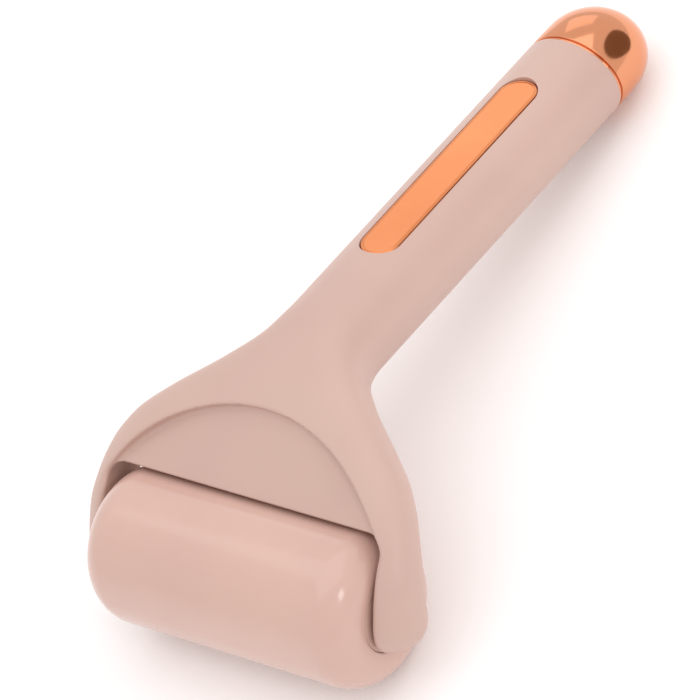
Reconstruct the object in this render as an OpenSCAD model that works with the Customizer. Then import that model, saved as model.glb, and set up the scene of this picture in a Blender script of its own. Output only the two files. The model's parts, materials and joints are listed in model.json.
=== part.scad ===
// Hand-held facial ice roller: an oval grip that bends down into a broad hood,
// two arms that hold a gel-filled drum, a plated inlay on top and a plated domed cap.
// The tool frame has its origin on the drum's axis, the axis along X and the grip along +Y.
// place() then tips the tool until the drum and the cap both rest on Z = 0.

/* [Drum] */
// Length of the drum, face to face
drum_l = 77; // [64:0.5:96]
// Radius of the drum
drum_r = 18.6; // [16:0.1:23]
// Rounding of the drum's two ends
drum_round = 8.6; // [5:0.1:9.5]
// Wall of the drum
drum_wall = 2.2; // [1.5:0.1:3]
// Radius of the filling mouth in each end of the drum
mouth_r = 8.5; // [8:0.1:9]
// Outer radius of the sealing tube around the axle
core_r = 4.6; // [4.2:0.1:5]
// Radius of the steel axle
axle_r = 2; // [1.5:0.1:2.5]

/* [Head] */
// Thickness of each arm at the axle
arm_t = 7.6; // [5.5:0.1:9]
// Gap between each arm and the drum's end
side_gap = 0.9; // [0.7:0.1:1.5]
// Gap between the hood and the drum's surface
bay_gap = 1.2; // [1:0.1:4]
// Rounding of the corners of the bay
bay_round = 4; // [3:0.5:8]
// Height of the grip's axis above the drum's axis
rise = 32.2; // [27:0.1:38]
// Distance along the grip from the drum's axis to the start of the bend
neck_run = 45; // [38:0.5:53]
// Half thickness of the arms at the axle
arm_half = 9.4; // [7:0.1:11]
// How far the arms reach past the drum's axis
tip_reach = 9.2; // [7:0.1:12]
// Half thickness of the hood above the lip
hood_half = 7.9; // [7:0.1:10]

/* [Thumb rest] */
// Radius of the arched edge of the thumb rest
rest_arch_r = 45; // [38:0.5:60]
// Height of the thumb rest from the lip to the top of its arch
rest_h = 20.2; // [14:0.1:24]
// Slope of the thumb rest from the grip's direction
rest_slope = 40.4; // [32:0.1:46]

/* [Grip] */
// Length of the straight grip up to the cap ring
grip_l = 97; // [78:1:125]
// Width of the oval grip
grip_w = 26.4; // [23:0.1:32]
// Thickness of the oval grip
grip_t = 22; // [19:0.1:27]
// Wall of the moulded shells
wall = 2.2; // [1.8:0.1:2.8]

/* [Inlay] */
// Length of the inlay plate
inlay_l = 64; // [50:0.5:72]
// Width of the inlay plate
inlay_w = 10.3; // [8:0.1:12]
// Thickness of the inlay plate
inlay_t = 1; // [0.8:0.1:1.5]
// Distance from the start of the grip to the inlay
inlay_start = 18.5; // [10:0.5:24]

/* [Cap] */
// Straight length of the plated cap
cap_skirt = 6.5; // [4:0.1:10]
// Height of the cap's dome
cap_dome = 13; // [9:0.1:16]
// Wall of the cap
cap_wall = 1.2; // [0.8:0.1:1.8]
// Thickness of the trim ring under the cap
ring_t = 0.8; // [0.5:0.1:1.5]

/* [Hidden] */

// Small clearances
slip = 0.05;
fit = 0.1;
ring_step = 0.3;
washer_gap = 0.3;
eps = 0.01;

// The hood and the arms follow one arc, from the grip's axis down to the drum's axis.
bend = 2 * atan(rise / neck_run);
bend_r = neck_run / sin(bend);
grip_end = neck_run + grip_l;
half_w = grip_w / 2;
half_t = grip_t / 2;
bay_half = drum_l / 2 + side_gap;
head_half = bay_half + arm_t;
bay_r = drum_r + bay_gap;
screw_angle = 24;
cavity_end = 0.44;

// How far the width and the thickness have changed at shares of the bend, and the squareness.
flare_steps = [[0, 0], [0.08, 0.02], [0.14, 0.066], [0.25, 0.26], [0.37, 0.52], [0.48, 0.73],
    [0.59, 0.85], [0.7, 0.92], [0.84, 0.985], [1, 1]];
thin_steps = [[0, 0], [0.14, 0.42], [0.28, 0.8], [0.4, 1.02], [0.6, 1], [1, 1]];
square_steps = [[0, 0], [0.3, 0.35], [0.6, 0.9], [1, 1]];
most_square = 8;

// Where the thumb rest's plane meets the bay: the lip of the hood.
lip_angle = 76;
lip_y = bay_r * cos(lip_angle);
lip_z = bay_r * sin(lip_angle);

// The tool's attitude on a table.
dome_y = grip_end + ring_t + cap_skirt;
function cap_reach(a) = sqrt(pow(cap_dome * sin(a), 2) + pow(half_t * cos(a), 2));
function sag(a) = dome_y * sin(a) - rise * cos(a) + cap_reach(a) - drum_r;
function rest_angle(low, high, passes) = let (mid = (low + high) / 2)
    passes == 0 ? mid
    : sag(mid) < 0 ? rest_angle(mid, high, passes - 1)
    : rest_angle(low, mid, passes - 1);
tip_angle = rest_angle(0, 45, 30);
far_y = dome_y * cos(tip_angle) + rise * sin(tip_angle)
    + sqrt(pow(cap_dome * cos(tip_angle), 2) + pow(half_t * sin(tip_angle), 2));

// The drum's inner pieces
mouth_flange_r = mouth_r + 1.5;
flange_t = 1.7;
cap_inner = drum_l / 2 - drum_wall - flange_t;
seal_r = 0.7;
seal_seat_r = core_r + 2 * seal_r;
bush_r = core_r - 1;
bush_l = 6;
plug_r = 1;
plug_offset = (seal_seat_r + mouth_r) / 2;
washer_t = side_gap - washer_gap;
socket_depth = 3.6;

// The inlay and its pocket
inlay_top = half_t - 0.75;
inlay_floor = inlay_top - inlay_t - 0.2;
inlay_mid = neck_run + inlay_start + inlay_l / 2;
pad_bottom = inlay_floor - 1.8;
spigot_l = 12;
spigot_wall = 2;
grip_screw_gap = inlay_l - 18;

// Screws and the posts they stand in. A hole stops short of the outer skin by blind, a screw by tip_gap more.
screw_r = 1.2;
screw_slip = 0.3;
head_r = 2.6;
head_t = 1.8;
head_sink = 0.8;
head_seat = inlay_floor - head_t - 2 * fit;
key_r = 1.1;
key_depth = 1;
post_r = 3.3;
post_skin = 1.2;
blind = 3;
tip_gap = 0.4;

$fn = 96;

function ease(t) = t * t * (3 - 2 * t);
// Straight share between two rows of a table, smoothed at the rows by blending three samples.
function share(x, rows) = (lookup(x - 0.035, rows) + 2 * lookup(x, rows) + lookup(x + 0.035, rows)) / 4;

function bend_share(a) = min(1, max(0, a / bend));
function width_at(a) = a <= 0 ? half_w : half_w + (head_half - half_w) * share(bend_share(a), flare_steps);
function body_at(a) = a <= 0 ? half_t
    : bend_share(a) < 0.4 ? half_t + (hood_half - half_t) * share(bend_share(a), thin_steps)
    : hood_half + (arm_half - hood_half) * ease((bend_share(a) - 0.4) / 0.6);
function square_at(a) = 2 + (most_square - 2) * (a <= 0 ? 0 : share(bend_share(a), square_steps));

// A station of the shells: place on the arc, tilt, half width, half thickness, squareness, hollow or not
function arc_station(a) = [neck_run - bend_r * sin(a), rise - bend_r * (1 - cos(a)), a,
    width_at(a), body_at(a), square_at(a), bend_share(a) < cavity_end];
function grip_station(y) = [y, rise, 0, half_w, half_t, 2, true];
function tip_station(w) = [-w * cos(bend), -w * sin(bend), bend,
    head_half - 3 * (1 - cos(asin(w / tip_reach))), arm_half * sqrt(1 - pow(w / tip_reach, 3)), most_square, false];

grip_stations = [for (i = [0:4]) grip_station(grip_end - i * grip_l / 5)];
arc_stations = [for (i = [0:25]) arc_station(bend * i / 25)];
tip_stations = [for (a = [15:15:75]) tip_station(tip_reach * sin(a))];
stations = concat(grip_stations, arc_stations, tip_stations);
around = 20;

function rim(s, phi, inset, side, flat) = let (
        w = s[3] - inset,
        t = s[4] - inset,
        x = w * cos(phi),
        e = flat ? 0 : side * t * sqrt(max(0, 1 - pow(abs(cos(phi)), s[5]))))
    [x, s[0] - e * sin(s[2]), s[1] + e * cos(s[2])];
function ring(s, side) = concat(
    [for (j = [0:around]) rim(s, 180 * j / around, 0, side, false)],
    [for (j = [around:-1:0]) rim(s, 180 * j / around, wall, side, !s[6])]);

// One half of the grip and hood: an arched wall swept through the stations.
module half_shell(side) {
    n = len(stations);
    k = 2 * around + 2;
    points = [for (s = stations) each ring(s, side)];
    sides = [for (i = [0:n - 2], j = [0:k - 1]) let (
            a = i * k + j, b = i * k + (j + 1) % k, c = a + k, d = b + k)
        each [[a, b, d], [a, d, c]]];
    ends = [for (i = [0, n - 1], j = [0:around - 1]) let (
            a = i * k + j, b = a + 1, c = i * k + k - 1 - j, d = c - 1,
            pair = j < around / 2 ? [[a, b, c], [b, d, c]] : [[a, b, d], [a, d, c]])
        each (i == 0 ? [for (f = pair) [f[2], f[1], f[0]]] : pair)];
    faces = concat(sides, ends);
    polyhedron(points, side < 0 ? faces : [for (f = faces) [f[2], f[1], f[0]]]);
}

// Moves the tool frame to the table.
module place() {
    translate([0, (drum_r - far_y) / 2, drum_r]) rotate([-tip_angle, 0, 0]) children();
}

// A child drawn along Z is turned along the drum's axis, X.
module along_axis() {
    rotate([0, 90, 0]) children();
}

// A rounded roll profile, for revolving: radius, half length, rounding
module roll_profile(r, half, round) {
    translate([0, -half]) square([r - round, 2 * half]);
    translate([0, round - half]) square([r, 2 * (half - round)]);
    for (end = [-1, 1]) translate([r - round, end * (half - round)]) circle(round);
}

// The space that the drum turns in
module bay() {
    along_axis() rotate_extrude() intersection() {
        roll_profile(bay_r, bay_half, bay_round);
        translate([0, -bay_half]) square([bay_r, 2 * bay_half]);
    }
}

module axle_sockets() {
    along_axis() cylinder(r = axle_r, h = 2 * (bay_half + socket_depth), center = true);
}

// An oval bar along +Y, everywhere inset from the grip's outline
module oval_bar(y, length, inset) {
    translate([0, y, rise]) scale([1, 1, (half_t - inset) / (half_w - inset)])
        rotate([-90, 0, 0]) cylinder(r = half_w - inset, h = length);
}

// A stadium plate lying on the grip, from a height above its axis
module stadium(length, width, bottom, height) {
    translate([0, inlay_mid, rise + bottom]) {
        translate([-width / 2, (width - length) / 2, 0]) cube([width, length - width, height]);
        for (end = [-1, 1]) translate([0, end * (length - width) / 2, 0]) cylinder(d = width, h = height);
    }
}

module at_grip_screws() {
    for (end = [-1, 1]) translate([0, inlay_mid + end * grip_screw_gap / 2, rise]) children();
}

// Hood screws stand square to the arc; Z runs from the underside out to the top.
module at_hood_screws() {
    s = arc_station(screw_angle);
    for (x = [-1, 1]) translate([x * 0.5 * s[3], s[0], s[1]]) rotate([s[2], 0, 0]) children();
}

// The flat thumb rest, cut square to its slope with an arched upper edge
module thumb_rest_cut() {
    translate([0, lip_y, lip_z]) rotate([rest_slope, 0, 0])
        translate([0, rest_h - rest_arch_r, 0]) cylinder(r = rest_arch_r, h = 20);
}

// Upper moulding of the grip, hood and arms
module top_shell() {
    color([0.87, 0.73, 0.68]) place() difference() {
        union() {
            half_shell(1);
            stadium(inlay_l + 2, inlay_w + 1.4, pad_bottom, inlay_floor - pad_bottom + 0.4);
            at_grip_screws() cylinder(r = post_r, h = pad_bottom + 0.5);
            at_hood_screws() cylinder(r = post_r, h = body_at(screw_angle) - post_skin);
        }
        bay();
        axle_sockets();
        thumb_rest_cut();
        stadium(inlay_l + 2 * fit, inlay_w + 2 * fit, inlay_floor, 6);
        at_grip_screws() translate([0, 0, -1]) cylinder(r = screw_r + screw_slip, h = half_t);
        at_grip_screws() translate([0, 0, head_seat]) cylinder(r = head_r + fit, h = half_t);
        at_hood_screws() translate([0, 0, -1]) cylinder(r = screw_r, h = body_at(screw_angle) - blind + 1);
    }
}

// Lower moulding of the grip, hood and arms
module bottom_shell() {
    color([0.86, 0.71, 0.66]) place() difference() {
        union() {
            half_shell(-1);
            at_grip_screws() translate([0, 0, post_skin - half_t]) cylinder(r = post_r, h = half_t - post_skin);
            at_hood_screws() translate([0, 0, post_skin - body_at(screw_angle)])
                cylinder(r = post_r + 0.4, h = body_at(screw_angle) - post_skin);
        }
        bay();
        axle_sockets();
        at_grip_screws() translate([0, 0, blind - half_t]) cylinder(r = screw_r, h = half_t);
        at_hood_screws() translate([0, 0, -half_t]) cylinder(r = screw_r + screw_slip, h = half_t + 1);
        at_hood_screws() translate([0, 0, -half_t])
            cylinder(r = head_r + fit, h = half_t + head_sink + head_t - body_at(screw_angle));
    }
}

// Two screws from the underside of the hood
module hood_screws() {
    head_low = head_sink - body_at(screw_angle);
    screw_tip = body_at(screw_angle) - blind - tip_gap;
    color([0.72, 0.72, 0.74]) place() at_hood_screws() difference() {
        union() {
            translate([0, 0, head_low]) cylinder(r = head_r, h = head_t);
            translate([0, 0, head_low + head_t - eps]) cylinder(r = screw_r, h = screw_tip - head_low - head_t + eps);
        }
        translate([0, 0, head_low - eps]) cylinder(r = key_r, h = key_depth, $fn = 6);
    }
}

// Two screws under the inlay plate
module grip_screws() {
    screw_tip = blind + tip_gap - half_t;
    color([0.72, 0.72, 0.74]) place() at_grip_screws() difference() {
        union() {
            translate([0, 0, head_seat]) cylinder(r = head_r, h = head_t);
            translate([0, 0, screw_tip]) cylinder(r = screw_r, h = head_seat - screw_tip + eps);
        }
        translate([0, 0, head_seat + head_t - key_depth]) cylinder(r = key_r, h = 2 * key_depth, $fn = 6);
    }
}

// Plated plate set flush in the top of the grip
module inlay_plate() {
    color([0.93, 0.6, 0.42]) place() stadium(inlay_l, inlay_w, inlay_top - inlay_t, inlay_t);
}

// Adhesive film under the plate
module inlay_tape() {
    color([0.9, 0.9, 0.88]) place() stadium(inlay_l - 1, inlay_w - 1, inlay_floor, inlay_top - inlay_t - inlay_floor);
}

// Plated cap: an oval skirt and a domed end, hollow, as one closed wall
module end_cap() {
    // Share of the oval, distance along the cap, and how far the wall is inset
    profile = concat(
        [for (a = [80:-10:0]) [cos(a), cap_skirt + (cap_dome - cap_wall) * sin(a), cap_wall]],
        [[1, 0, cap_wall], [1, 0, 0]],
        [for (a = [0:10:80]) [cos(a), cap_skirt + cap_dome * sin(a), 0]]);
    around_cap = 60;
    last = len(profile) - 1;
    rings = [for (p = profile, j = [0:around_cap - 1]) let (phi = 360 * j / around_cap)
        [(half_w - p[2]) * p[0] * cos(phi), p[1], (half_t - p[2]) * p[0] * sin(phi)]];
    poles = [[0, cap_skirt + cap_dome - cap_wall, 0], [0, cap_skirt + cap_dome, 0]];
    skin = [for (i = [0:last - 1], j = [0:around_cap - 1]) let (
            a = i * around_cap + j, b = i * around_cap + (j + 1) % around_cap)
        each [[a, b, b + around_cap], [a, b + around_cap, a + around_cap]]];
    inner_pole = [for (j = [0:around_cap - 1]) [(j + 1) % around_cap, j, len(rings)]];
    outer_pole = [for (j = [0:around_cap - 1]) let (a = last * around_cap)
        [a + j, a + (j + 1) % around_cap, len(rings) + 1]];
    color([0.87, 0.58, 0.42]) place() translate([0, grip_end + ring_t, rise])
        polyhedron(concat(rings, poles), concat(skin, inner_pole, outer_pole));
}

// Thin polished ring between the grip and the cap
module cap_ring() {
    color([0.95, 0.7, 0.52]) place() difference() {
        oval_bar(grip_end, ring_t, ring_step);
        oval_bar(grip_end - 1, ring_t + 2, wall + slip);
    }
}

// Hollow spigot that carries the cap and the ring on the grip's end
module cap_plug() {
    color([0.93, 0.9, 0.88]) place() difference() {
        union() {
            oval_bar(grip_end - spigot_l, spigot_l + ring_t + eps, wall + 2 * fit);
            oval_bar(grip_end + ring_t, cap_skirt - 0.5, cap_wall + fit);
        }
        oval_bar(grip_end - spigot_l - 1, spigot_l + 1 + ring_t + cap_skirt, wall + spigot_wall);
    }
}

// Steel rod that the drum turns on, held at both ends in the arms
module axle() {
    color([0.78, 0.78, 0.8]) place() axle_sockets();
}

module washer(side) {
    color([0.92, 0.92, 0.9]) place() along_axis() difference() {
        translate([0, 0, side * (bay_half - washer_t / 2)]) cylinder(r = core_r, h = washer_t, center = true);
        cylinder(r = axle_r + slip, h = 3 * bay_half, center = true);
    }
}

module washer_left() {
    washer(-1);
}

module washer_right() {
    washer(1);
}

// Moulded shell of the drum, open at a mouth in each end
module drum_shell() {
    color([0.89, 0.75, 0.69]) place() along_axis() rotate_extrude() difference() {
        roll_profile(drum_r, drum_l / 2, drum_round);
        roll_profile(drum_r - drum_wall, drum_l / 2 - drum_wall, drum_round - drum_wall);
        translate([0, -drum_l]) square([mouth_r, 2 * drum_l]);
    }
}

// Welded disc that closes a mouth of the drum around the sealing tube
module drum_cap(side) {
    color([0.88, 0.72, 0.66]) place() along_axis() mirror([0, 0, side > 0 ? 0 : 1]) difference() {
        union() {
            translate([0, 0, cap_inner + flange_t - eps]) cylinder(r = mouth_r, h = drum_wall + eps);
            translate([0, 0, cap_inner]) cylinder(r = mouth_flange_r, h = flange_t);
        }
        cylinder(r = core_r, h = drum_l);
        translate([0, 0, cap_inner - 1]) cylinder(r = seal_seat_r, h = 1 + 2 * seal_r);
        if (side > 0) translate([0, plug_offset, 0]) cylinder(r = plug_r, h = drum_l);
    }
}

module drum_cap_left() {
    drum_cap(-1);
}

module drum_cap_right() {
    drum_cap(1);
}

// Tube that keeps the gel off the axle
module core_tube() {
    color([0.9, 0.9, 0.88]) place() along_axis() difference() {
        cylinder(r = core_r, h = drum_l, center = true);
        cylinder(r = bush_r, h = drum_l + 1, center = true);
    }
}

// Cooling gel sealed in the drum
module gel_fill() {
    color([0.8, 0.9, 0.97]) place() along_axis() rotate_extrude() difference() {
        roll_profile(drum_r - drum_wall - slip, cap_inner - slip, drum_round - drum_wall);
        translate([0, -drum_l]) square([core_r + slip, 2 * drum_l]);
    }
}

// Plug that closes the filling hole
module fill_plug() {
    color([0.84, 0.66, 0.6]) place() along_axis() translate([0, plug_offset, cap_inner])
        cylinder(r = plug_r, h = drum_l / 2 - cap_inner);
}

module seal_ring(side) {
    color([0.15, 0.15, 0.16]) place() along_axis() translate([0, 0, side * (cap_inner + seal_r)])
        rotate_extrude() translate([core_r + seal_r, 0]) circle(seal_r);
}

module seal_ring_left() {
    seal_ring(-1);
}

module seal_ring_right() {
    seal_ring(1);
}

// Plain bearing pressed in the end of the sealing tube
module bush(side) {
    color([0.95, 0.95, 0.93]) place() along_axis() difference() {
        translate([0, 0, side * (drum_l - bush_l) / 2]) cylinder(r = bush_r, h = bush_l, center = true);
        cylinder(r = axle_r + slip, h = 2 * drum_l, center = true);
    }
}

module bush_left() {
    bush(-1);
}

module bush_right() {
    bush(1);
}

top_shell();
bottom_shell();
hood_screws();
grip_screws();
inlay_plate();
inlay_tape();
end_cap();
cap_ring();
cap_plug();
axle();
washer_left();
washer_right();
drum_shell();
drum_cap_left();
drum_cap_right();
core_tube();
gel_fill();
fill_plug();
seal_ring_left();
seal_ring_right();
bush_left();
bush_right();
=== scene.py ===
import json
import math

import bmesh
import bpy
import numpy as np
from mathutils import Matrix, Vector


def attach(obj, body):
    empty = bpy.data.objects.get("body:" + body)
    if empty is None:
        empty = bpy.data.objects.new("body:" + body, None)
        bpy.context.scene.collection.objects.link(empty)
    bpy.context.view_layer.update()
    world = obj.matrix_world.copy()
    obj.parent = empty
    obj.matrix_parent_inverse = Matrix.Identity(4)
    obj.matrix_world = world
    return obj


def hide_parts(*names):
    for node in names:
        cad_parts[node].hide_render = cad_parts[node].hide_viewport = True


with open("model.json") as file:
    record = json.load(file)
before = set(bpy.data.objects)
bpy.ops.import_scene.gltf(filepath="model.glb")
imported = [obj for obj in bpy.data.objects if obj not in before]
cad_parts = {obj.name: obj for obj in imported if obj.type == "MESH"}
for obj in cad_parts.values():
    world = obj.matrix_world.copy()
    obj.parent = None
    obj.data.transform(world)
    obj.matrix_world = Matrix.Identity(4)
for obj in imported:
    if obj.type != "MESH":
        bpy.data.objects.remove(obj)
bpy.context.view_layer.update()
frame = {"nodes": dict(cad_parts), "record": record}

# Grip, hood and arms: blush pink plastic, moulded in two halves that meet along the widest line and
# are screwed together. The oval grip bends down into a broad hood with a flat thumb rest, and the
# hood runs out into two arms that hold the drum's axle.
mm = 0.001
record = frame["record"]
spin_axis = Vector(record["behaviour"]["joints"][0]["pos_m"])
grip_up = Vector([m for m in record["mounts"] if m["name"] == "inlay_face"][0]["axis"])
table_tilt = -math.atan2(grip_up.y, grip_up.z)
tool_to_table = Matrix.Translation(spin_axis) @ Matrix.Rotation(table_tilt, 4, "X")

rise = 32.2
neck_run = 45.0
grip_length = 97.0
grip_end = neck_run + grip_length
half_width = 13.2
half_thick = 11.0
bend = 2 * math.atan(rise / neck_run)
bend_radius = neck_run / math.sin(bend)
arc_length = bend_radius * bend
head_half = 47.0
hood_half = 7.9
arm_half = 9.4
hood_share = 0.4
most_square = 8
tip_reach = 9.2
tip_power = 3
tip_narrowing = 3
end_edge = 0.5
bay_radius = 19.8
bay_half = 39.4
bay_round = 4.0
lip_angle = math.radians(76)
lip = (bay_radius * math.cos(lip_angle), bay_radius * math.sin(lip_angle))
thumb_slope = math.radians(40.4)
thumb_arch = 45.0
thumb_height = 20.2
thumb_edge = 0.7
thumb_fillet = 1.0
bay_edge = 1.6


def smooth_steps(steps, reach):
    """A soft curve through a short list of steps: the straight segments averaged over a window."""
    at = np.linspace(-0.5, 1.5, 2001)
    value = np.interp(at, [s[0] for s in steps], [s[1] for s in steps])
    window = np.hanning(int(reach * 1000))
    soft = np.convolve(np.pad(value, len(window), mode="edge"), window / window.sum(), mode="same")
    soft = soft[len(window):-len(window)]
    return lambda share: np.interp(share, at, soft)


flare = smooth_steps([(0, 0), (0.08, 0.02), (0.14, 0.066), (0.25, 0.26), (0.37, 0.52), (0.48, 0.73),
                      (0.59, 0.85), (0.7, 0.92), (0.84, 0.985), (1, 1)], 0.14)
thinning = smooth_steps([(0, 0), (0.14, 0.42), (0.28, 0.8), (0.4, 1.02), (0.6, 1), (1, 1)], 0.2)
squaring = smooth_steps([(0, 0), (0.3, 0.35), (0.6, 0.9), (1, 1)], 0.2)


def section(travel):
    """Half width, half thickness and squareness of the body at a travel along its middle line."""
    share = travel / arc_length
    width = half_width + (head_half - half_width) * flare(share)
    thin = half_thick + (hood_half - half_thick) * thinning(share)
    thin = thin + (arm_half - hood_half) * np.clip((share - hood_share) / (1 - hood_share), 0, 1) ** 2
    return width, thin, 2 + (most_square - 2) * squaring(share)


def middle_line(travel):
    """Place and tilt of the body's middle line: straight grip, one arc down, then straight again."""
    tilt = min(max(travel, 0.0), arc_length) / bend_radius
    past = travel - min(max(travel, 0.0), arc_length)
    y = neck_run - bend_radius * math.sin(tilt) - past * math.cos(tilt)
    z = rise - bend_radius * (1 - math.cos(tilt)) - past * math.sin(tilt)
    return y, z, tilt


def soft_max(a, b, blend):
    """The larger of two distances, rounded over where they meet."""
    return np.maximum(a, b) + np.maximum(blend - np.abs(a - b), 0) ** 2 / (4 * blend)


def body_distance(x, y, z):
    """Distance from the body's skin, negative inside, for points given in the tool's millimetres."""
    drop = z - (rise - bend_radius)
    tilt = np.arctan2(neck_run - y, drop)
    on_grip, on_tip = y > neck_run, tilt > bend
    travel = np.where(on_grip, neck_run - y, np.minimum(tilt, bend) * bend_radius)
    out = np.where(on_grip, z - rise, np.hypot(neck_run - y, drop) - bend_radius)
    out = np.where(on_tip, z * math.cos(bend) - y * math.sin(bend), out)
    past = np.where(on_tip, -y * math.cos(bend) - z * math.sin(bend), 0.0)
    width, thin, square = section(travel)
    tip = np.clip(past / tip_reach, 0, 1)
    width = width - tip_narrowing * (1 - np.sqrt(1 - tip * tip))
    side = np.abs(x) / width
    past = np.maximum(past, 0) / tip_reach
    level = (out / thin) ** 2 + past ** tip_power + side ** square - 1
    slope = np.sqrt((2 * out / thin ** 2) ** 2 + (tip_power * past ** (tip_power - 1) / tip_reach) ** 2
                    + (square * side ** (square - 1) / width) ** 2)
    least_slope = 0.02
    skin = level / np.maximum(slope, least_slope)
    skin = soft_max(skin, y - grip_end, end_edge)

    beyond = np.abs(x) - (bay_half - bay_round)
    around = np.hypot(y, z) - (bay_radius - bay_round)
    outside_bay = np.hypot(np.maximum(beyond, 0), np.maximum(around, 0))
    bay = outside_bay + np.minimum(np.maximum(beyond, around), 0) - bay_round

    forward, height = y - lip[0], z - lip[1]
    above = height * math.cos(thumb_slope) - forward * math.sin(thumb_slope)
    along = forward * math.cos(thumb_slope) + height * math.sin(thumb_slope)
    within = thumb_arch - np.hypot(x, along - (thumb_height - thumb_arch))
    thumb_rest = -soft_max(-above, -within, thumb_fillet)
    return soft_max(soft_max(skin, -bay, bay_edge), thumb_rest, thumb_edge)


def skinned(distance, low, high, step):
    """Closed quad skin of a distance rule: a net of one point a cell, slid onto the exact surface."""
    slides = 4
    tiny = 0.02
    flat_slope = 0.05
    axes = [np.arange(a, b, step) for a, b in zip(low, high)]
    field = distance(axes[0][:, None, None], axes[1][None, :, None], axes[2][None, None, :])
    inside = field < 0
    cells = np.zeros([n - 1 for n in field.shape], np.int8)
    steps = [(i, j, k) for i in (0, 1) for j in (0, 1) for k in (0, 1)]
    for i, j, k in steps:
        cells += inside[i:field.shape[0] - 1 + i, j:field.shape[1] - 1 + j, k:field.shape[2] - 1 + k]
    places = np.argwhere((cells > 0) & (cells < 8))
    number = np.full(cells.shape, -1)
    number[tuple(places.T)] = np.arange(len(places))
    total, hits = np.zeros((len(places), 3)), np.zeros(len(places))
    for a in steps:
        for axis in range(3):
            if a[axis]:
                continue
            run = np.eye(3, dtype=int)[axis]
            here, there = (field[tuple((places + p).T)] for p in (np.array(a), np.array(a) + run))
            crossed = (here < 0) != (there < 0)
            share = here[crossed] / (here[crossed] - there[crossed])
            total[crossed] += places[crossed] + np.array(a) + share[:, None] * run
            hits[crossed] += 1
    points = np.array(low) + step * total / hits[:, None]
    for _ in range(slides):
        x, y, z = points.T
        value = distance(x, y, z)
        slope = np.stack([(distance(x + tiny, y, z) - distance(x - tiny, y, z)),
                          (distance(x, y + tiny, z) - distance(x, y - tiny, z)),
                          (distance(x, y, z + tiny) - distance(x, y, z - tiny))], 1) / (2 * tiny)
        move = value[:, None] * slope / np.maximum((slope ** 2).sum(1), flat_slope)[:, None]
        points -= np.clip(move, -step / 2, step / 2)
    faces = []
    for axis in range(3):
        u, v = np.eye(3, dtype=int)[(axis + 1) % 3], np.eye(3, dtype=int)[(axis + 2) % 3]
        first = [slice(0, n - 1 if i == axis else None) for i, n in enumerate(field.shape)]
        second = [slice(1, None) if i == axis else slice(None) for i in range(3)]
        crossed = np.argwhere(inside[tuple(first)] != inside[tuple(second)])
        quad = np.stack([number[tuple((crossed - p).T)] for p in (0 * u, u, u + v, v)], 1)
        outward = inside[tuple(crossed.T)]
        quad[outward] = quad[outward][:, ::-1]
        faces.append(quad)
    return points.tolist(), np.concatenate(faces).tolist()


def make_piece(name, points, faces, smooth=True):
    """A piece from points in the tool's millimetres, put on the table in metres."""
    mesh = bpy.data.meshes.new(name)
    mesh.from_pydata([tool_to_table @ (Vector(p) * mm) for p in points], [], faces)
    edit = bmesh.new()
    edit.from_mesh(mesh)
    bmesh.ops.recalc_face_normals(edit, faces=edit.faces)
    edit.to_mesh(mesh)
    edit.free()
    mesh.polygons.foreach_set("use_smooth", [smooth] * len(mesh.polygons))
    piece = bpy.data.objects.new(name, mesh)
    bpy.context.collection.objects.link(piece)
    return piece


def lofted(name, rings, smooth=True):
    """A closed piece through a row of rings that all have the same number of points."""
    count = len(rings[0])
    faces = []
    for i in range(len(rings) - 1):
        for j in range(count):
            a, b = i * count + j, i * count + (j + 1) % count
            faces.append((a, b, b + count, a + count))
    faces.append(tuple(range(count - 1, -1, -1)))
    faces.append(tuple(range((len(rings) - 1) * count, len(rings) * count)))
    return make_piece(name, [point for ring in rings for point in ring], faces, smooth)


def turned_solid(name, profile, along, around):
    """A solid of revolution. profile is (distance along, radius); along maps them to tool points."""
    turns = [2 * math.pi * j / around for j in range(around)]
    return lofted(name, [[along(distance, radius * math.cos(turn), radius * math.sin(turn))
                          for turn in turns] for distance, radius in profile])


def cut_with(piece, cutter):
    """Takes the cutter's shape out of a piece, keeps the result as its plain mesh, drops the cutter."""
    cut = piece.modifiers.new("Cut", "BOOLEAN")
    cut.operation, cut.solver, cut.object = "DIFFERENCE", "MANIFOLD", cutter
    depsgraph = bpy.context.evaluated_depsgraph_get()
    result = bpy.data.meshes.new_from_object(piece.evaluated_get(depsgraph))
    piece.modifiers.clear()
    old = piece.data
    piece.data = result
    bpy.data.meshes.remove(old)
    bpy.data.objects.remove(cutter)
    return piece


net_low = (-48, -12, -14)
net_high = (48.5, grip_end + 2, 45)
net_step = 0.45
body = make_piece("body", *skinned(body_distance, net_low, net_high, net_step))

inlay_length = 64.0
inlay_width = 10.3
inlay_start = 18.5
inlay_top = half_thick - 0.75
inlay_floor = inlay_top - 1.2
inlay_middle = neck_run + inlay_start + inlay_length / 2
pocket_gap = 0.3


def stadium_solid(name, length, width, levels):
    """A flat piece with round ends; levels is a list of (height above the grip's axis, inset)."""
    end_turns = np.linspace(0, math.pi, 40)
    rings = []
    for height, inset in levels:
        radius = width / 2 - inset
        rings.append([(radius * math.cos(a) * end,
                       inlay_middle + end * ((length - width) / 2 + radius * math.sin(a)), rise + height)
                      for end in (1, -1) for a in end_turns])
    return lofted(name, rings, smooth=False)


# The pocket for the inlay, with a little room all round, and then the split into two mouldings.
cut_with(body, stadium_solid("pocket", inlay_length + pocket_gap, inlay_width + pocket_gap,
                             [(inlay_floor, 0), (half_thick + 4, 0)]))

beyond_grip = 8
beyond_tip = 14
parting_steps = 80
travels = [-grip_length - beyond_grip, *np.linspace(-grip_length, arc_length, parting_steps),
           arc_length + beyond_tip]
parting = [middle_line(travel) for travel in travels]


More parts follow.
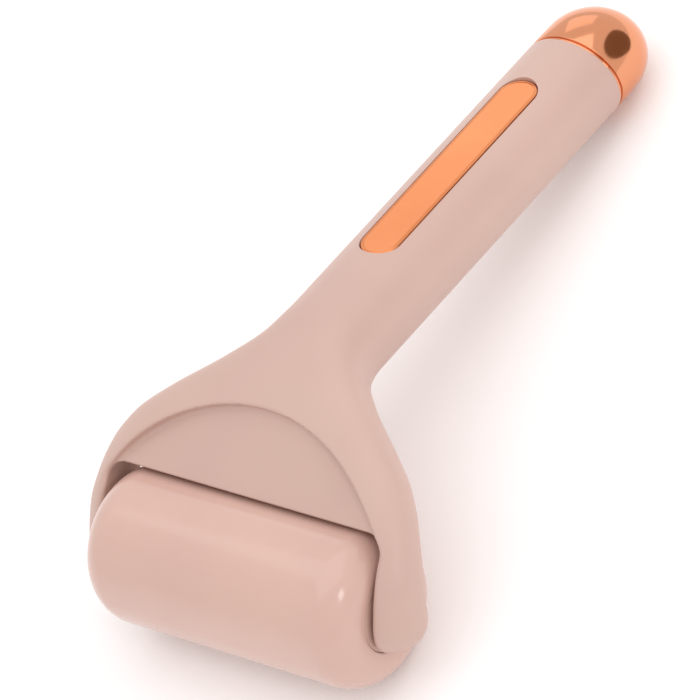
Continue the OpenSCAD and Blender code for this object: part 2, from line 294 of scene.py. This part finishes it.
def parting_block(name, side):
    """A block from the surface where the two mouldings meet out past the body on one side."""
    half, reach = 60, side * 34
    return lofted(name, [[(x, y - out * math.sin(tilt), z + out * math.cos(tilt))
                          for x, out in ((-half, 0), (half, 0), (half, reach), (-half, reach))]
                         for y, z, tilt in parting])


body_lower = body.copy()
body_lower.data = body.data.copy()
body_lower.name = "lower_moulding"
bpy.context.collection.objects.link(body_lower)
cut_with(body_lower, parting_block("upper_block", 1))
body.name = "upper_moulding"
cut_with(body, parting_block("lower_block", -1))

corner_angle = math.radians(38)
finish = {}


def finished(piece, body_name, slot_name, *nodes):
    """Marks a piece's real corners, gives it its finish, ties it to its moving part and hides the plain
    solid it stands for.
    """
    piece.data.set_sharp_from_angle(angle=corner_angle)
    piece.data.materials.clear()
    piece.data.materials.append(finish[slot_name])
    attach(piece, body_name)
    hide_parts(*nodes)


def srgb(red, green, blue):
    """A shader colour from the usual 0 to 255 values."""
    linear = [c / 255 / 12.92 if c <= 10 else ((c / 255 + 0.055) / 1.055) ** 2.4
              for c in (red, green, blue)]
    return (*linear, 1)


def moulded_plastic(name, low, high, gloss, patch=28.0, grain=1500.0, depth=0.012, **shine):
    """A made surface: faint cloudy colour, a fine skin of grain, gloss that varies a little."""
    material = bpy.data.materials.new(name)
    material.use_nodes = True
    nodes, links = material.node_tree.nodes, material.node_tree.links
    shader = nodes["Principled BSDF"]
    for socket, value in shine.items():
        shader.inputs[socket.replace("_", " ")].default_value = value
    place = nodes.new("ShaderNodeTexCoord").outputs["Object"]

    def cloud(scale, detail, rough=0.5):
        noise = nodes.new("ShaderNodeTexNoise")
        noise.inputs["Scale"].default_value = scale
        noise.inputs["Detail"].default_value = detail
        noise.inputs["Roughness"].default_value = rough
        links.new(place, noise.inputs["Vector"])
        return noise.outputs["Fac"]

    tint = nodes.new("ShaderNodeValToRGB")
    tint.color_ramp.elements[0].position = 0.32
    tint.color_ramp.elements[0].color = low
    tint.color_ramp.elements[1].position = 0.68
    tint.color_ramp.elements[1].color = high
    links.new(cloud(patch, 3), tint.inputs["Fac"])
    links.new(tint.outputs["Color"], shader.inputs["Base Color"])

    spread = nodes.new("ShaderNodeMapRange")
    spread.inputs["From Min"].default_value = 0.3
    spread.inputs["From Max"].default_value = 0.7
    spread.inputs["To Min"].default_value = gloss[0]
    spread.inputs["To Max"].default_value = gloss[1]
    links.new(cloud(patch * 4, 4, 0.6), spread.inputs["Value"])
    links.new(spread.outputs["Result"], shader.inputs["Roughness"])

    skin = nodes.new("ShaderNodeBump")
    skin.inputs["Strength"].default_value = 0.25
    skin.inputs["Distance"].default_value = depth * mm
    links.new(cloud(grain, 2), skin.inputs["Height"])
    links.new(skin.outputs["Normal"], shader.inputs["Normal"])
    return material


finish["body"] = moulded_plastic("blush_satin_plastic", srgb(196, 163, 152), srgb(201, 169, 157),
                                 (0.36, 0.44), IOR=1.5)

# Screw openings in the underside of the hood: a wide bore in the lower moulding for each head, with
# a small flare at its mouth. They lean with the hood, square to its middle line.
screw_tilt = 24.0
screw_spread = 0.5
screw_travel = bend_radius * math.radians(screw_tilt)
screw_y, screw_z, screw_lean = middle_line(screw_travel)
screw_width, screw_thin, _ = (float(v) for v in section(screw_travel))
head_radius = 2.6
head_sink = 0.8
head_high = 1.8
bore_radius = head_radius + 0.1
mouth_flare = head_radius + 0.5
hood_screw_places = [(side * screw_spread * screw_width, screw_y, screw_z) for side in (-1, 1)]
for x, y, z in hood_screw_places:
    def from_underside(d, u, v):
        return (x + u, y + v * math.cos(screw_lean) - d * math.sin(screw_lean),
                z + v * math.sin(screw_lean) + d * math.cos(screw_lean))

    rim = -screw_thin
    bore = turned_solid("bore", [(rim - 3, mouth_flare), (rim, mouth_flare), (rim + 0.4, bore_radius),
                                 (rim + head_sink + head_high, bore_radius)], from_underside, 64)
    cut_with(body_lower, bore)
finished(body, "handle", "body", "top_shell")
finished(body_lower, "handle", "body", "bottom_shell")

# Drum: a hollow blush pink roll with soft ends, filled with gel. It is blown in one piece and its
# two mouths are closed by welded discs. Its turned shape is one rule, so nodes revolve it.


def node_tree(name, **sockets):
    """An empty geometry tree with its named inputs, and a way to add nodes to it."""
    tree = bpy.data.node_groups.new(name, "GeometryNodeTree")
    tree.interface.new_socket("Geometry", in_out="INPUT", socket_type="NodeSocketGeometry")
    tree.interface.new_socket("Geometry", in_out="OUTPUT", socket_type="NodeSocketGeometry")
    for label, kind in sockets.items():
        tree.interface.new_socket(label.replace("_", " "), in_out="INPUT", socket_type="NodeSocket" + kind)
    given = tree.nodes.new("NodeGroupInput")

    def add(kind, settings=(), **wires):
        node = tree.nodes.new(kind)
        for key, value in dict(settings).items():
            setattr(node, key, value)
        for label, value in wires.items():
            label = label.replace("_", " ").strip()
            socket = node.inputs[int(label[2:])] if label.startswith("at") else node.inputs[label]
            for source in value if isinstance(value, list) else [value]:
                if isinstance(source, str):
                    source = given.outputs[source]
                if isinstance(source, bpy.types.NodeSocket):
                    tree.links.new(source, socket)
                else:
                    socket.default_value = source
        return node.outputs[0]

    def math_of(operation, a, b=0.0):
        return add("ShaderNodeMath", {"operation": operation}, at0=a, at1=b)

    return tree, add, math_of


def grown(name, tree, last, values, base=None):
    """Closes a tree with Realize Instances and Set Material, runs it and keeps its plain mesh."""
    real = tree.nodes.new("GeometryNodeRealizeInstances")
    tree.links.new(last, real.inputs[0])
    paint = tree.nodes.new("GeometryNodeSetMaterial")
    tree.links.new(real.outputs[0], paint.inputs["Geometry"])
    given = [n for n in tree.nodes if n.type == "GROUP_INPUT"][0]
    tree.links.new(given.outputs["Material"], paint.inputs["Material"])
    out = tree.nodes.new("NodeGroupOutput")
    tree.links.new(paint.outputs[0], out.inputs[0])
    mesh = base or bpy.data.meshes.new(name)
    piece = bpy.data.objects.new(name, mesh)
    bpy.context.collection.objects.link(piece)
    modifier = piece.modifiers.new("Nodes", "NODES")
    modifier.node_group = tree
    for item in tree.interface.items_tree:
        if item.in_out == "INPUT" and item.name in values:
            modifier[item.identifier] = values[item.name]
    depsgraph = bpy.context.evaluated_depsgraph_get()
    piece.data = bpy.data.meshes.new_from_object(piece.evaluated_get(depsgraph))
    piece.modifiers.clear()
    piece.data.transform(tool_to_table @ Matrix.Scale(mm, 4))
    piece.data.polygons.foreach_set("use_smooth", [True] * len(piece.data.polygons))
    return piece


finish["drum"] = moulded_plastic("blush_gloss_plastic", srgb(203, 166, 154), srgb(208, 172, 159),
                                 (0.16, 0.24), patch=34.0, grain=700.0, depth=0.02, IOR=1.5,
                                 Coat_Weight=0.3, Coat_Roughness=0.08)
drum_length = 77.0
drum_radius = 18.6
drum_rounding = 8.6
mouth_radius = 8.5
tree, add, math_of = node_tree("turned_drum", Length="Float", Radius="Float", Mouth_radius="Float",
                               Rounding="Float", Mouth_rounding="Float", Material="Material")
wall_run = math_of("SUBTRACT", "Radius", "Mouth radius")
middle = math_of("MULTIPLY", math_of("ADD", "Radius", "Mouth radius"), 0.5)
side_view = add("GeometryNodeCurvePrimitiveQuadrilateral", Width=wall_run, Height="Length")
across = add("ShaderNodeSeparateXYZ", Vector=add("GeometryNodeInputPosition"))
at_rim = add("FunctionNodeCompare", {"data_type": "FLOAT", "operation": "GREATER_THAN"}, A=across, B=0.0)
corner = add("GeometryNodeSwitch", {"input_type": "FLOAT"}, at0=at_rim, at1="Mouth rounding",
             at2="Rounding")
side_view = add("GeometryNodeFilletCurve", {"mode": "POLY"}, Curve=side_view, Count=28, Radius=corner)
turn_path = add("GeometryNodeCurvePrimitiveCircle", Resolution=224, Radius=middle)
drum_skin = add("GeometryNodeCurveToMesh", Curve=turn_path, Profile_Curve=side_view)
drum_skin = add("GeometryNodeTransform", Geometry=drum_skin, Rotation=(0, math.radians(90), 0))
drum = grown("drum", tree, drum_skin, {
    "Length": drum_length, "Radius": drum_radius, "Mouth radius": mouth_radius,
    "Rounding": drum_rounding, "Mouth rounding": 0.4, "Material": finish["drum"]})
finished(drum, "roller", "drum", "drum_shell")

# Discs that close the drum's mouths. Each is moulded with a rounded rim and spun-welded in; the
# right one has a small plug over the hole that the gel was filled through.
weld_gap = 0.04
core_radius = 4.6
disc_thick = 3.9
disc_edge = mouth_radius - weld_gap
disc_rows = [(disc_thick, core_radius), (disc_thick, disc_edge), (0.45, disc_edge),
             (0.3, disc_edge - 0.12), (0.2, disc_edge - 0.4), (0.2, core_radius + 0.6),
             (0.35, core_radius + 0.2), (0.35, core_radius)]
hub_reach = 6


def on_axle(distance, across, up):
    return distance, across, up


for end, node in ((-1, "drum_cap_left"), (1, "drum_cap_right")):
    disc = turned_solid(node + "_disc", [(end * (drum_length / 2 - depth), radius)
                                         for depth, radius in disc_rows], on_axle, 128)
    hub = turned_solid("hub", [(end * (drum_length / 2 + reach), core_radius)
                               for reach in (-hub_reach, hub_reach)], on_axle, 128)
    cut_with(disc, hub)
    finished(disc, "roller", "drum", node)

# Inlay: a thin metal plate with round ends, stamped with a rolled edge and plated rose gold. It is
# taped into a pocket on top of the grip, where it hides the grip's screws.
finish["rose_gold"] = moulded_plastic("rose_gold_plating", srgb(226, 142, 94), srgb(236, 152, 102),
                                      (0.2, 0.27), patch=40.0, grain=900.0, depth=0.008, Metallic=1.0)
plate_edge = [(1.0, 0.25), (0.8, 0.05), (0.42, 0.0), (0.24, 0.05), (0.1, 0.16), (0.03, 0.3),
              (0.02, 0.46), (0.09, 0.56), (0.09, 0.66), (0, 0.78), (0, 1.1)]
inlay = stadium_solid("inlay", inlay_length, inlay_width,
                      [(inlay_top - drop, inset) for drop, inset in plate_edge])
inlay.data.polygons.foreach_set("use_smooth", [True] * len(inlay.data.polygons))
finished(inlay, "handle", "rose_gold", "inlay_plate")

# End cap and ring: a thin domed cap and a narrow waisted ring, both polished and plated rose gold.
# The two are pushed onto a spigot that plugs the grip's open end.
finish["rose_gold_cap"] = moulded_plastic("rose_gold_cap_plating", srgb(224, 151, 113),
                                          srgb(229, 157, 119), (0.1, 0.15), patch=30.0, grain=700.0,
                                          depth=0.006, Metallic=1.0)
ring_thick = 0.8
cap_skirt = 6.5
cap_dome = 13.0
cap_wall = 1.2


def oval_shell(name, rows):
    """Turned oval piece on the grip's axis; rows are (share of the oval, distance along, inset)."""
    around = 160
    turns = [2 * math.pi * j / around for j in range(around)]
    return lofted(name, [[((half_width - inset) * share * math.cos(turn), grip_end + along,
                           rise + (half_thick - inset) * share * math.sin(turn)) for turn in turns]
                         for share, along, inset in rows])


dome_start = ring_thick + cap_skirt
dome_turns = np.linspace(0, math.radians(89.2), 48)
dome_inside = [(math.cos(a), dome_start + (cap_dome - cap_wall) * math.sin(a), cap_wall)
               for a in dome_turns[::-3]]
dome_outside = [(math.cos(a), dome_start + cap_dome * math.sin(a), 0.0) for a in dome_turns]
cap_lip = [(1, ring_thick + d, inset) for d, inset in ((0, cap_wall), (0, 0.3), (0.08, 0.1), (0.28, 0.0))]
end_cap = oval_shell("cap", dome_inside + cap_lip + dome_outside)
finished(end_cap, "handle", "rose_gold_cap", "end_cap")

ring_hole = 2.25
ring_side = 0.5
ring_gap = 0.02
ring_rows = [(1, ring_gap, ring_hole), (1, ring_gap, ring_side)]
ring_rows += [(1, 0.06 + d, 0.3 + 0.2 * (2 * d / 0.7 - 0.97) ** 2) for d in np.linspace(0, 0.68, 9)]
ring_rows += [(1, ring_thick - ring_gap, ring_side), (1, ring_thick - ring_gap, ring_hole)]
ring_bore = oval_shell("ring_bore", [(1, -2, ring_hole), (1, 3, ring_hole)])
ring = cut_with(oval_shell("ring", ring_rows), ring_bore)
finished(ring, "handle", "rose_gold_cap", "cap_ring")

# Hood screws: two plated steel cap screws that go up through the lower moulding into the upper one.
# One screw is built by nodes and set at both places.
finish["steel"] = moulded_plastic("bright_steel", srgb(186, 186, 190), srgb(200, 200, 203), (0.22, 0.34),
                                  patch=300.0, grain=4000.0, depth=0.004, Metallic=1.0)
tree, add, math_of = node_tree("cap_screw", Head_radius="Float", Head_height="Float",
                               Shank_radius="Float", Shank_length="Float", Key_radius="Float",
                               Key_depth="Float", Chamfer="Float", Lean="Float", Material="Material")
straight = math_of("SUBTRACT", "Head height", "Chamfer")


def raised(part, height):
    lift = add("ShaderNodeCombineXYZ", Z=height)
    return add("GeometryNodeTransform", Geometry=part, Translation=lift)


head = add("GeometryNodeMeshCylinder", Vertices=64, Radius="Head radius", Depth=straight)
head = raised(head, math_of("ADD", "Chamfer", math_of("MULTIPLY", straight, 0.5)))
face_radius = math_of("SUBTRACT", "Head radius", "Chamfer")
bevel = add("GeometryNodeMeshCone", Vertices=64, Radius_Bottom=face_radius, Radius_Top="Head radius",
            Depth="Chamfer")
shank = add("GeometryNodeMeshCylinder", Vertices=48, Radius="Shank radius", Depth="Shank length")
shank = raised(shank, math_of("ADD", "Head height", math_of("MULTIPLY", "Shank length", 0.5)))
key_cut = math_of("MULTIPLY", "Key depth", 2.0)
key = add("GeometryNodeMeshCylinder", Vertices=6, Radius="Key radius", Depth=key_cut)
solid = add("GeometryNodeMeshBoolean", {"operation": "UNION", "solver": "EXACT"},
            Mesh_2=[head, bevel, shank])
solid = add("GeometryNodeMeshBoolean", {"operation": "DIFFERENCE", "solver": "EXACT"},
            Mesh_1=solid, Mesh_2=key)
lean = add("ShaderNodeCombineXYZ", X="Lean")
screws = add("GeometryNodeInstanceOnPoints", Points="Geometry", Instance=solid, Rotation=lean)
screw_points = bpy.data.meshes.new("hood_screw_points")
screw_points.from_pydata([(x, y - (head_sink - screw_thin) * math.sin(screw_lean),
                           z + (head_sink - screw_thin) * math.cos(screw_lean))
                          for x, y, z in hood_screw_places], [], [])
hood_screws = grown("hood_cap_screws", tree, screws, {
    "Head radius": head_radius, "Head height": head_high, "Shank radius": 1.2,
    "Shank length": 2 * screw_thin - 6.0, "Key radius": 1.1, "Key depth": 1.0,
    "Chamfer": 0.25, "Lean": screw_lean, "Material": finish["steel"]}, screw_points)
finished(hood_screws, "handle", "steel", "hood_screws")

# Pieces inside: the steel axle and the moulded, sealed and filled parts behind the skin keep their
# plain turned shapes and take the finish of what they are made of.
finish["inner_plastic"] = moulded_plastic("inner_moulding", srgb(226, 223, 218), srgb(236, 233, 228),
                                          (0.4, 0.5))
finish["gel"] = moulded_plastic("cooling_gel", srgb(196, 220, 236), srgb(214, 232, 244), (0.1, 0.2),
                                patch=60.0)
finish["film"] = moulded_plastic("adhesive_film", srgb(224, 222, 216), srgb(232, 230, 224), (0.3, 0.4))
finish["seal"] = moulded_plastic("seal_rubber", srgb(34, 34, 36), srgb(44, 44, 46), (0.55, 0.7))
inner_finish = {"axle": "steel", "grip_screws": "steel", "gel_fill": "gel", "inlay_tape": "film",
                "seal_ring_left": "seal", "seal_ring_right": "seal", "fill_plug": "drum",
                "washer_left": "drum", "washer_right": "drum"}
for node_name, node in frame["nodes"].items():
    node.data.materials.clear()
    node.data.materials.append(finish[inner_finish.get(node_name, "inner_plastic")])

# Studio: a pale floor and pale air all round, one broad soft panel overhead and three small ones
# that put the highlights on the drum, the inlay and the cap.
floor_reach = 4
floor_mesh = bpy.data.meshes.new("floor")
floor_mesh.from_pydata([(-floor_reach, -floor_reach, 0), (floor_reach, -floor_reach, 0),
                        (floor_reach, floor_reach, 0), (-floor_reach, floor_reach, 0)],
                       [], [(0, 1, 2, 3)])
floor = bpy.data.objects.new("floor", floor_mesh)
bpy.context.collection.objects.link(floor)


def plain_surface(name, colour, roughness):
    """A flat matt material for stage pieces, and its shader."""
    material = bpy.data.materials.new(name)
    material.use_nodes = True
    shader = material.node_tree.nodes["Principled BSDF"]
    shader.inputs["Base Color"].default_value = colour
    shader.inputs["Roughness"].default_value = roughness
    return material, shader


pale, pale_shader = plain_surface("pale_card", srgb(250, 248, 248), 0.9)
pale_shader.inputs["Emission Color"].default_value = (1, 0.99, 0.99, 1)
pale_shader.inputs["Emission Strength"].default_value = 0.04
floor_mesh.materials.append(pale)

world = bpy.data.worlds.new("studio_air")
bpy.context.scene.world = world
world.use_nodes = True
world.node_tree.nodes["Background"].inputs["Color"].default_value = (1.0, 0.985, 0.98, 1)
world.node_tree.nodes["Background"].inputs["Strength"].default_value = 0.95


def aimed(from_place, at_place):
    return (Vector(at_place) - Vector(from_place)).to_track_quat("-Z", "Y").to_euler()


def soft_light(name, place, aim, size, power):
    light = bpy.data.lights.new(name, "AREA")
    light.shape = "RECTANGLE"
    light.size, light.size_y = size
    light.energy = power
    lamp = bpy.data.objects.new(name, light)
    lamp.location = place
    lamp.rotation_euler = aimed(place, aim)
    bpy.context.collection.objects.link(lamp)
    return lamp


soft_light("overhead_panel", (-0.1, 0.1, 1.4), (0, 0, 0), (1.6, 1.6), 5.0)
soft_light("left_rear_panel", (-0.34, 0.53, 0.27), (0, 0.03, 0.03), (0.3, 0.26), 0.097)
right_panel = soft_light("right_rear_panel", (0.3, 0.76, 0.72), (0, 0, 0.03), (0.42, 0.42), 1.3)
right_panel.visible_glossy = False
soft_light("front_panel", (0.95, -0.25, 0.75), (0, -0.02, 0.03), (0.2, 0.3), 1.0)

# Dark card: a round card of brown felt on the stage, beside the grip. Only shiny surfaces show it,
# so it puts a dark patch in the polished cap and casts no shadow.
card_spot = Vector((0.30, 0.44, 0.20))
card_aim = (0.01, 0.08, 0.02)
card_radius = 0.23
card_sides = 64
card_turn = aimed(card_spot, card_aim).to_matrix().to_4x4()
card_mesh = bpy.data.meshes.new("dark_card")
rim_turns = np.linspace(0, 2 * math.pi, card_sides, endpoint=False)
card_mesh.from_pydata([(card_radius * math.cos(a), card_radius * math.sin(a), 0) for a in rim_turns],
                      [], [tuple(range(card_sides))])
card_mesh.transform(Matrix.Translation(card_spot) @ card_turn)
card = bpy.data.objects.new("dark_card", card_mesh)
card.visible_camera = card.visible_diffuse = card.visible_shadow = False
bpy.context.collection.objects.link(card)
card_mesh.materials.append(plain_surface("brown_felt", srgb(122, 106, 90), 1.0)[0])

# Camera: a long lens above and in front of the drum's right end, turned so that the grip runs away
# to the upper right. Its three axes are the view's right, its up and the way back to the lens.
bpy.context.scene.view_settings.view_transform = "Standard"
camera_place = Vector((0.8971, -0.5443, 1.1228))
camera_data = bpy.data.cameras.new("camera")
camera_data.lens = 344.9
camera_data.sensor_width = 36.0
camera = bpy.data.objects.new("camera", camera_data)
right = Vector((0.77525, 0.48587, -0.40362))
up = Vector((-0.21137, 0.80170, 0.55910))
back = Vector((0.59524, -0.34813, 0.72422))
turn = Matrix((right, up, back)).transposed().to_4x4()
camera.matrix_world = Matrix.Translation(camera_place) @ turn
bpy.context.collection.objects.link(camera)
bpy.context.scene.camera = camera
